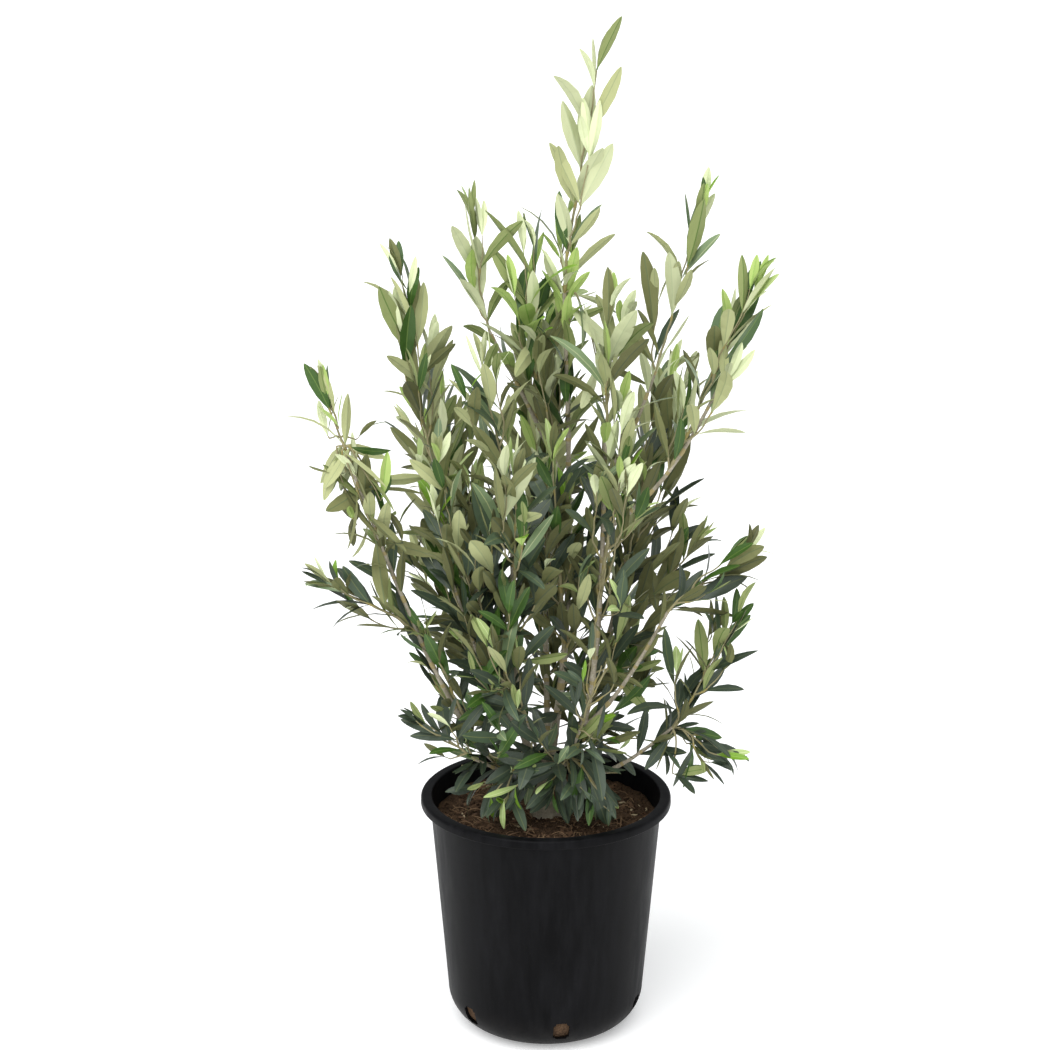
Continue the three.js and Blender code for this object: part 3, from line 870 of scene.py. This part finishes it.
class Crown:
    """The twigs and leaves as they grow."""

    def __init__(self, seed):
        self.rng = random.Random(seed)
        self.twigs = []  # (points of [x, y, z, radius], knots)
        self.leaves = {piece: [] for piece in LEAF_PIECES}
        self.near = GROWTH["stand_proud"]

    def kind_of(self, place, spray, part):
        """Which kind of leaf grows at a place of a spray, at a part of the way to the shoot's tip."""
        chance = self.rng.random()
        if part > 0.85 and chance < spray["pale"]:
            return "tip" if chance < 0.8 * spray["pale"] else "young"
        if part > 0.5 and spray["fresh"]:
            return "young" if chance > 0.85 and rise_of(place) > 0.3 else "green"
        # Paler with height: painted light high in the crown and painted shade low in it.
        painted_light_and_tint = min(LEAF_PAINTED_LIGHT_AND_TINT["limit"], LEAF_PAINTED_LIGHT_AND_TINT["rate"] * max(0.0, rise_of(place)) ** LEAF_PAINTED_LIGHT_AND_TINT["power"])
        painted_light_and_tint += spray["tone"] + part * LEAF_PAINTED_LIGHT_AND_TINT["towards_tip"] + self.rng.gauss(0, LEAF_PAINTED_LIGHT_AND_TINT["scatter"])
        return "green" if chance > LEAF_PAINTED_LIGHT_AND_TINT["green_from"] else LEAF_KINDS[max(0, min(3, int(painted_light_and_tint)))]

    def add_leaf(self, piece, place, along, out, part, spray, length):
        """Adds a leaf whose stalk is at a place on a twig, or none where it would leave the crown."""
        rng = self.rng
        rise = rise_of(place)
        widest, less_at_tip, less_at_top = GROWTH["leaf_spread"]
        spread = math.radians(widest - less_at_tip * part - less_at_top * rise + rng.gauss(0, 8))
        for _ in range(3):
            heading = (along * math.cos(spread) + out * math.sin(spread)).normalized()
            heading = heading + UP * (0.3 + 0.25 * rise - spray["droop"])
            heading.y *= 1 - 0.35 * rise
            heading.normalize()
            tip = place + heading * length
            bare = hides_bare_stem(place, place.lerp(tip, 0.5), tip)
            if outside_by(tip) < self.near + 0.012 * rise and clear_of_pot(tip) and not bare:
                break
            spread *= 0.6
            length *= 0.86
        else:
            return
        outward = Vector((place.x * 0.35, place.y, 0)).normalized()
        facing = along * 0.6 + (UP * 0.6 + outward * 0.6) * (1 - rise) + (LIGHT_SIDE - outward * 0.5) * rise
        kind = self.kind_of(place, spray, part)
        if kind == "green" and rng.random() < 0.45:
            facing.negate()
        normal = Matrix.Rotation(rng.gauss(0, 0.6), 3, heading) @ square_to(heading, hint=facing)
        frame_of_leaf = Matrix((heading, normal.cross(heading), normal)).transposed()
        width = rng.uniform(0.82, 1.18) * (1.04 - 0.17 * rise)
        self.leaves[piece].append({
            "place": place, "turn": frame_of_leaf.to_euler(), "size": (length, length * width, length),
            "form": rng.randrange(len(LEAF_FORMS)), "kind": LEAF_KINDS.index(kind)})

    def clothe(self, piece, line, first, last, spray, leaf_length):
        """Sets pairs of leaves along a line between two parts of its length, each pair square to the last."""
        rng = self.rng
        lengths = [0.0]
        for a, b in zip(line, line[1:]):
            lengths.append(lengths[-1] + (b.xyz - a.xyz).length)
        knots = []
        gap, wider = GROWTH["node_gap"]
        at = lengths[-1] * first + rng.uniform(0.2, 0.8) * gap
        azimuth = rng.uniform(0, math.tau)
        while at < lengths[-1] * last:
            index = min(max(i for i, l in enumerate(lengths) if l <= at), len(line) - 2)
            part = at / lengths[-1]
            share = (at - lengths[index]) / max(lengths[index + 1] - lengths[index], 1e-6)
            place = line[index].xyz.lerp(line[index + 1].xyz, share)
            along = (line[index + 1].xyz - line[index].xyz).normalized()
            side = Matrix.Rotation(azimuth, 3, along) @ square_to(along)
            size = leaf_length * (0.74 + 0.42 * math.sin(math.pi * min(part, 0.95) ** 0.9))
            size *= rng.uniform(0.86, 1.12)
            for way in (1, -1):
                if rng.random() > GROWTH["leaf_missing"]:
                    self.add_leaf(piece, place, along, side * way, part, spray, size)
            knots.append(at / lengths[-1])
            azimuth += math.pi / 2 + rng.gauss(0, 0.25)
            gap_here = gap * (1 + wider * max(0.0, rise_of(place)) ** 1.2) * (1.1 - 0.2 * part)
            at += gap_here * rng.uniform(0.85, 1.15)
        along = (line[-1].xyz - line[-2].xyz).normalized()
        for _ in range(2 if last == 1 else 0):
            side = square_to(along, rng)
            size = leaf_length * rng.uniform(0.5, 0.8) * (0.9 + 0.2 * rise_of(line[-1]))
            self.add_leaf(piece, line[-1].xyz, along, side, 1.0, spray, size)
        return knots

    def shoot(self, piece, start, leaving, end, arriving, radii, spray, leaf_length):
        """Grows one leafy twig on a gentle curve."""
        rng = self.rng
        reach = (end - start).length
        pull = reach * TWIG["pull"]
        points = [start, start + leaving * pull, end - arriving * pull, end]
        steps = max(4, round(reach / TWIG["point_gap"]))
        line = []
        for step in range(steps + 1):
            t = step / steps
            place = sum((points[k] * w for k, w in enumerate((
                (1 - t) ** 3, 3 * t * (1 - t) ** 2, 3 * t * t * (1 - t), t ** 3))), Vector())
            if 0 < step < steps:
                place += Vector((rng.gauss(0, 1), rng.gauss(0, 1), rng.gauss(0, 0.4))) * TWIG["wobble"]
            line.append(Vector((*place, radii[0] + (radii[1] - radii[0]) * t)))
        knots = self.clothe(piece, line, 0, 1, spray, leaf_length)
        self.twigs.append((line, knots))
        return line

    def new_spray(self, place, droop=0.0):
        """What the leaves of one spray have in common."""
        rng = self.rng
        rise = rise_of(place)
        return {
            "tone": rng.gauss(0, 0.35),
            "fresh": rng.random() < 0.3,
            # Pale tips grow more often high in the crown: real pale young tips, made more frequent up there
            # as painted light.
            "pale": 0.12 + 0.7 * rise,
            "droop": max(0, rng.gauss(0.2, 0.15) * (1 - 1.3 * rise)) + droop,
        }

    def fill_mass(self, mass):
        """Grows a leader through a mass from the nearest limb, and side shoots from that."""
        rng = self.rng = random.Random(f"{GROWTH_SEED} {mass['name']}")
        words = mass["name"].split("_")
        piece = next(piece for piece, parts in LEAF_PIECES.items() if words[1] in parts)
        droop = GROWTH["skirt_droop"] if "skirt" in words else 0.0
        lean = LEANS.get(mass["name"], Vector())
        self.near = GROWTH["stand_proud"] + lean.length
        axis = mass["tip"] - mass["foot"]
        along = axis.normalized()
        middle = (mass["foot"] + mass["tip"]) / 2
        rise = rise_of(middle)
        limb, (start, part) = min(
            ((name, nearest_on(line, mass["foot"])) for name, line in LIMB_LINES.items() if name != "trunk"),
            key=lambda item: (item[1][0].xyz - mass["foot"]).length)
        line = LIMB_LINES[limb]
        leaving = (along * 0.6 + (line[-1].xyz - line[-4].xyz).normalized() * 0.4).normalized()
        if part > GROWTH["near_tip"]:
            self.clothe(piece, line, part, 0.99, self.new_spray(middle, droop), leaf_length_at(middle))
            start = line[-1]
        held_back = GROWTH["held_back"][rise >= SPIRE]
        end = mass["tip"] + lean - along * leaf_length_at(mass["tip"]) * held_back
        leader = self.shoot(
            piece, start.xyz.copy(), leaving, end, along, (max(TWIG["radius"], start.w * 0.8), 0.0006),
            self.new_spray(middle, droop), leaf_length_at(middle) * rng.uniform(1.0, 1.12))
        side = square_to(along, hint=Vector((1, 0, 0)))
        count = side_shoot_count(mass, rise, axis.length)
        span = SIDE_SHOOTS["span"][rise >= SPIRE]
        turn = rng.uniform(0, math.tau)
        for index in range(count):
            turn += GROWTH["turn"]
            way = Matrix.Rotation(turn, 3, along) @ side
            to_part = SIDE_SHOOTS["first"] + span * (index + rng.random()) / count
            from_part = max(0.0, to_part - rng.uniform(*SIDE_SHOOTS["run"]))
            hit = mass["surface"].ray_cast(mass["foot"] + axis * to_part, way)
            room = hit[3] if hit[0] else SIDE_SHOOTS["least_room"]
            target = mass["foot"] + (axis + lean) * to_part + way * room * rng.uniform(*SIDE_SHOOTS["fill"])
            origin = leader[round(from_part * (len(leader) - 1))]
            leave = (along * 0.75 + way * 0.65).normalized()
            arrive = (along * 0.8 + way * 0.2 + UP * 0.5).normalized()
            radii = (min(TWIG["radius"], origin.w), TWIG["tip_radius"])
            self.shoot(piece, origin.xyz.copy(), leave, target, arrive, radii,
                       self.new_spray(target, droop), leaf_length_at(target) * rng.uniform(0.88, 1.08))

    def ring_the_foot(self, count, heights, reaches, droop):
        """Grows short leafy shoots all round the fork of the trunk, out over the soil."""
        rng = self.rng
        feet = [point.xyz for name in LIMB_NAMES for point in LIMB_LINES[name]
                if TRUNK_END.z - 0.02 < point.z < TRUNK_END.z + 0.05 and point.xyz.xy.length < 0.05]
        for index in range(count):
            angle = math.tau * (index + rng.uniform(-0.3, 0.3)) / count
            out = Vector((math.cos(angle), math.sin(angle), 0))
            end = out * rng.uniform(*reaches) + UP * rng.uniform(*heights)
            start = min(feet, key=lambda foot: (foot - end).length)
            spray = self.new_spray(end, droop * rng.uniform(0.3, 1.5))
            spray["fresh"] = droop < 0.3 and rng.random() < 0.55
            spray["tone"] += 0.25 * droop
            piece = "leaves_front" if end.y < 0 else "leaves_back"
            arrive = (out + UP * (0.5 - droop * 0.7)).normalized()
            self.shoot(piece, start.copy(), (out + UP * 0.4).normalized(), end, arrive,
                       (TWIG["radius"], 0.0006), spray, leaf_length_at(end) * rng.uniform(0.85, 1.05))

    def clothe_foot(self, line):
        """Grows a few short leafy shoots on the lower, bare part of a limb."""
        rng = self.rng
        step = round(GROWTH["foot_shoot_gap"] / LINE_SPACING)
        for index in range(step, int(len(line) * 0.6), step):
            place = line[index].xyz
            if rng.random() < 0.35 or place.z < TRUNK_END.z or place.z > FOOT_SHOOTS_END:
                continue
            outward = Vector((place.x + rng.gauss(0, 0.02), place.y + rng.gauss(0, 0.02), 0)).normalized()
            way = Matrix.Rotation(rng.gauss(0, 0.9), 3, "Z") @ outward
            end = place + (way * 0.75 + UP * rng.uniform(0.1, 0.8)).normalized() * rng.uniform(0.04, 0.085)
            piece = "leaves_front" if end.y < 0 else "leaves_back"
            leave, arrive = (way + UP * 0.3).normalized(), (way + UP).normalized()
            self.shoot(piece, place, leave, end, arrive, (0.0011, TWIG["tip_radius"]), self.new_spray(end),
                       leaf_length_at(end) * rng.uniform(0.8, 1.0))


# ---- leaves, twigs and limbs as meshes --------------------------------------------------------------------

def leaf_mesh(name, bend, fold, twist, curl):
    """One thin closed leaf of unit length along +X, with its upper side to +Z."""
    corners, faces, zones, places = [], [], [], []
    stalk, half = LEAF["stalk"], LEAF["half_width"]

    def map_place(across, part, under):
        return ((0.75 if under else 0.25) + 0.23 * across / half, 0.02 + 0.96 * part)

    rings = []
    for part in LEAF["stations"]:
        blade = max(0.0, (part - stalk) / (1 - stalk))
        width = max(half * math.sin(math.pi * blade ** 1.08) ** 0.66, 0.013 * (1 - blade) + 0.003)
        rib = min(LEAF["rib"], width * 0.5)
        thick = LEAF["thickness"] * (0.4 + 0.6 * (1 - part))
        centre = Vector((math.sin(bend * part) / bend, curl * part ** 2, -(1 - math.cos(bend * part)) / bend))
        turn = Matrix.Rotation(bend * part, 3, "Y") @ Matrix.Rotation(twist * part, 3, "X")
        ring = []
        outline = ((-width, 0), (-rib, thick), (rib, thick), (width, 0), (rib, -thick), (-rib, -thick))
        for across, level in outline:
            lift = fold * (abs(across) - rib) * 0.8 if abs(across) > rib else 0.0
            ring.append(len(corners))
            corners.append(centre + turn @ Vector((0, across, lift + level / 2)))
            places.append((across, part))
        rings.append(ring)
    for number, (near, far) in enumerate(zip(rings, rings[1:])):
        for index in range(6):
            after = (index + 1) % 6
            face = (near[index], near[after], far[after], far[index])
            # Both sides fold along the same diagonals, so that they never cross.
            faces.append(face if index < 3 else face[1:] + face[:1])
            zones.append(2 if index in (1, 4) or number == 0 else int(index > 2))
    faces += [tuple(reversed(rings[0])), tuple(rings[-1])]
    zones += [2, 2]
    mesh = mesh_of(name, corners, faces)
    layer = mesh.uv_layers.new(name="OFBake")
    for face in mesh.polygons:
        under = face.center.z < 0 if zones[face.index] == 2 else zones[face.index] == 1
        for loop in face.loop_indices:
            across, part = places[mesh.loops[loop].vertex_index]
            layer.data[loop].uv = map_place(across, part, under)
    give_values(mesh, "zone", "INT", zones, "FACE")
    return mesh


def leaf_tree(materials):
    """Sets leaf forms on points, each with its own turn, size, form and kind."""
    tree, given, result = new_tree(
        "Leaves on shoots", "GeometryNodeTree",
        {"Geometry": "Geometry", "Forms": "Collection", "Size": ("Float", 1.0)}, {"Geometry": "Geometry"})
    forms = add_node(tree, "GeometryNodeCollectionInfo", {
        "Collection": given["Forms"], "Separate Children": True, "Reset Children": True})
    turn = add_node(tree, "FunctionNodeEulerToRotation", {0: attribute(tree, "turn", "FLOAT_VECTOR")})
    size = add_node(tree, "ShaderNodeVectorMath", {
        0: attribute(tree, "size", "FLOAT_VECTOR"), "Scale": given["Size"]}, operation="SCALE")
    placed = add_node(tree, "GeometryNodeInstanceOnPoints", {
        "Points": given["Geometry"], "Instance": forms.outputs[0], "Pick Instance": True,
        "Instance Index": attribute(tree, "form", "INT"), "Rotation": turn.outputs[0],
        "Scale": size.outputs[0]})
    geometry = add_node(tree, "GeometryNodeRealizeInstances", {"Geometry": placed.outputs[0]}).outputs[0]
    kind, zone = attribute(tree, "kind", "INT"), attribute(tree, "zone", "INT")
    equal = {"data_type": "INT", "operation": "EQUAL"}
    for kind_index, finishes in enumerate(materials):
        of_kind = add_node(tree, "FunctionNodeCompare", {2: kind, 3: kind_index}, **equal)
        for zone_index, finish in enumerate(finishes):
            in_zone = add_node(tree, "FunctionNodeCompare", {2: zone, 3: zone_index}, **equal)
            both = add_node(tree, "FunctionNodeBooleanMath", {0: of_kind.outputs[0], 1: in_zone.outputs[0]})
            geometry = finished(tree, geometry, finish, both.outputs[0])
    tree.links.new(geometry, result["Geometry"])
    return tree


def make_leaves(crown):
    """Each piece of leaves as one mesh, in place of the foliage masses that it stands for."""
    forms = bpy.data.collections.new("leaf_forms")
    for index, form in enumerate(LEAF_FORMS):
        name = f"leaf_form_{index}"
        forms.objects.link(bpy.data.objects.new(name, leaf_mesh(name, *form)))
    tree = leaf_tree(leaf_materials())
    for piece, leaves in crown.leaves.items():
        points = mesh_of(piece + "_points", [leaf["place"] for leaf in leaves])
        for name in ("turn", "size"):
            give_values(points, name, "FLOAT_VECTOR", [leaf[name] for leaf in leaves])
        for name in ("form", "kind"):
            give_values(points, name, "INT", [leaf[name] for leaf in leaves])
        made = run_tree(show(piece + "_points", points), tree, {"Forms": forms, "Size": 1.0}, piece)
        nodes = [name for name in MASS_NAMES if name.split("_")[1] in LEAF_PIECES[piece]]
        finish_piece(made, "leaf", *nodes)


def stalk_tree():
    """Turns lines with a girth into round stalks, with swollen knots and an uneven bark."""
    tree, given, result = new_tree(
        "Stalks along lines", "GeometryNodeTree",
        {"Geometry": "Geometry", "Sides": ("Int", 6), "Unevenness": ("Float", 0.0), "Grain": ("Float", 90.0),
         "Bark": "Material", "Knot bark": "Material"}, {"Geometry": "Geometry"})
    line = add_node(tree, "GeometryNodeMeshToCurve", {"Mesh": given["Geometry"]})
    ring = add_node(tree, "GeometryNodeCurvePrimitiveCircle", {"Resolution": given["Sides"], "Radius": 1.0})
    tube = add_node(tree, "GeometryNodeCurveToMesh", {
        "Curve": line.outputs[0], "Profile Curve": ring.outputs[0],
        "Scale": attribute(tree, "girth", "FLOAT"), "Fill Caps": True})
    bumps = add_node(tree, "ShaderNodeTexNoise", {"Scale": given["Grain"], "Detail": 3.0})
    height = maths(tree, "MULTIPLY", maths(tree, "SUBTRACT", bumps.outputs["Fac"], 0.5), given["Unevenness"])
    lift = add_node(tree, "ShaderNodeVectorMath", {
        0: tree.nodes.new("GeometryNodeInputNormal").outputs[0], "Scale": height}, operation="SCALE")
    rough = add_node(tree, "GeometryNodeSetPosition", {
        "Geometry": tube.outputs[0], "Offset": lift.outputs[0]})
    smooth = add_node(tree, "GeometryNodeSetShadeSmooth", {"Geometry": rough.outputs[0]})
    real = add_node(tree, "GeometryNodeRealizeInstances", {"Geometry": smooth.outputs[0]})
    barked = finished(tree, real.outputs[0], given["Bark"])
    on_knot = maths(tree, "GREATER_THAN", attribute(tree, "knot", "FLOAT"), 0.5)
    tree.links.new(finished(tree, barked, given["Knot bark"], on_knot), result["Geometry"])
    return tree


def make_stalks(name, lines, sides, unevenness, bark, knot_bark, tree):
    """Makes one mesh of stalks. lines is a list of (points of [x, y, z, radius], knot share of each)."""
    corners, edges, girths, knots = [], [], [], []
    for points, knotted in lines:
        first = len(corners)
        corners += [point.xyz for point in points]
        girths += [point.w for point in points]
        knots += knotted
        edges += [(first + i, first + i + 1) for i in range(len(points) - 1)]
    mesh = mesh_of(name + "_lines", corners, edges=edges)
    give_values(mesh, "girth", "FLOAT", girths)
    give_values(mesh, "knot", "FLOAT", knots)
    values = {"Sides": sides, "Unevenness": unevenness, "Bark": bark, "Knot bark": knot_bark}
    return run_tree(show(name + "_lines", mesh), tree, values, name)


def with_knots(line, places, form):
    """A line with its girth swollen at knots, which are given as parts of its length."""
    points, knotted = [], []
    length, swell, reach = length_of(line), form["swell"], form["knot_reach"]
    at = 0.0
    for index, point in enumerate(line):
        at += (point.xyz - line[index - 1].xyz).length if index else 0.0
        near = max((math.exp(-((at - part * length) / reach) ** 2) for part in places), default=0.0)
        points.append(Vector((*point.xyz, point.w * (1 + swell * near))))
        knotted.append(near)
    return points, knotted


def make_twigs(crown, tree):
    """All the twigs as one mesh."""
    bark = plain("olive_twig_bark", (0.29, 0.26, 0.14), 0.65, 0.3, 900.0)
    knot = plain("twig_knot", (0.3, 0.25, 0.09), 0.6, 0.3, 900.0)
    lines = [with_knots(smooth_line(line, TWIG["mesh_gap"]), knots, TWIG) for line, knots in crown.twigs]
    finish_piece(make_stalks("twigs", lines, TWIG["sides"], 0.0, bark, knot, tree), "bark")


def make_limbs(tree):
    """The trunk, the stems and the boughs as one mesh, each limb swollen where it leaves its parent."""
    bark = stem_bark()
    knot = plain("stem_knot", (0.33, 0.27, 0.13), 0.75, 0.25, 700.0)
    lines = []
    first, gap = LIMB["first_knot"], LIMB["knot_gap"]
    for name in LIMB_NAMES:
        line = LIMB_LINES[name]
        length = length_of(line)
        knots = [(first + gap * step) / length for step in range(int(length / gap))]
        points, knotted = with_knots(line, knots, LIMB)
        walked = 0.0
        for index, point in enumerate(points):
            walked += (point.xyz - points[index - 1].xyz).length if index else 0.0
            point.w *= 1 + 0.7 * math.exp(-walked / 0.012)
        lines.append((points, knotted))
    limbs = make_stalks("limbs", lines, LIMB["sides"], LIMB["bark"], bark, knot, tree)
    trunk = show("trunk_wood", trunk_mesh())
    trunk.data.materials.append(bark)
    bpy.ops.object.select_all(action="DESELECT")
    limbs.select_set(True)
    trunk.select_set(True)
    bpy.context.view_layer.objects.active = limbs
    bpy.ops.object.join()
    limbs.name = "trunk_and_boughs"
    finish_piece(limbs, "bark", "trunk", *LIMB_NAMES)


def trunk_mesh():
    """The short trunk with a lobed root flare, from just under the soil to the fork."""
    line = LIMB_LINES["trunk"]
    low, top = line[0].xyz - UP * TRUNK["under_soil"], line[-1].xyz
    sides, rings = TRUNK["sides"], TRUNK["rings"]
    corners = []
    for ring in range(rings):
        part = ring / (rings - 1)
        centre = low.lerp(top, part)
        flare = max(0.0, 1 - part / 0.55) ** 2
        cap = math.sqrt(max(0.0, 1 - max(0.0, (part - 0.86) / 0.15) ** 2))
        for side in range(sides):
            angle = math.tau * side / sides
            lobes = 1 + 0.2 * flare * math.cos(5 * angle + 0.6) + 0.05 * math.sin(3 * angle + 4 * part)
            radius = (TRUNK["radius"] + TRUNK["flare"] * flare) * lobes * cap
            way = Vector((math.cos(angle), math.sin(angle), 0))
            grain = noise.noise((centre + way * radius) * 300) * TRUNK["grain"]
            corners.append(centre + way * (radius + grain))
    ends = [tuple(reversed(range(sides))), tuple(range((rings - 1) * sides, rings * sides))]
    mesh = mesh_of("trunk_wood", corners, ring_faces(rings, sides) + ends)
    mesh.shade_smooth()
    return mesh


# ---- the scene --------------------------------------------------------------------------------------------

make_camera()
make_light()
make_floor()
make_pot()
make_litter(make_soil()[1])

crown = Crown(GROWTH_SEED)
for mass in MASSES:
    crown.fill_mass(mass)
crown.near = GROWTH["foot_stand_proud"]
for limb_name in LIMB_NAMES:
    crown.clothe_foot(LIMB_LINES[limb_name])
for count, heights, reaches, droop in FOOT_RINGS:
    crown.ring_the_foot(count, heights, reaches, droop)
stalks = stalk_tree()
make_limbs(stalks)
make_twigs(crown, stalks)
make_leaves(crown)
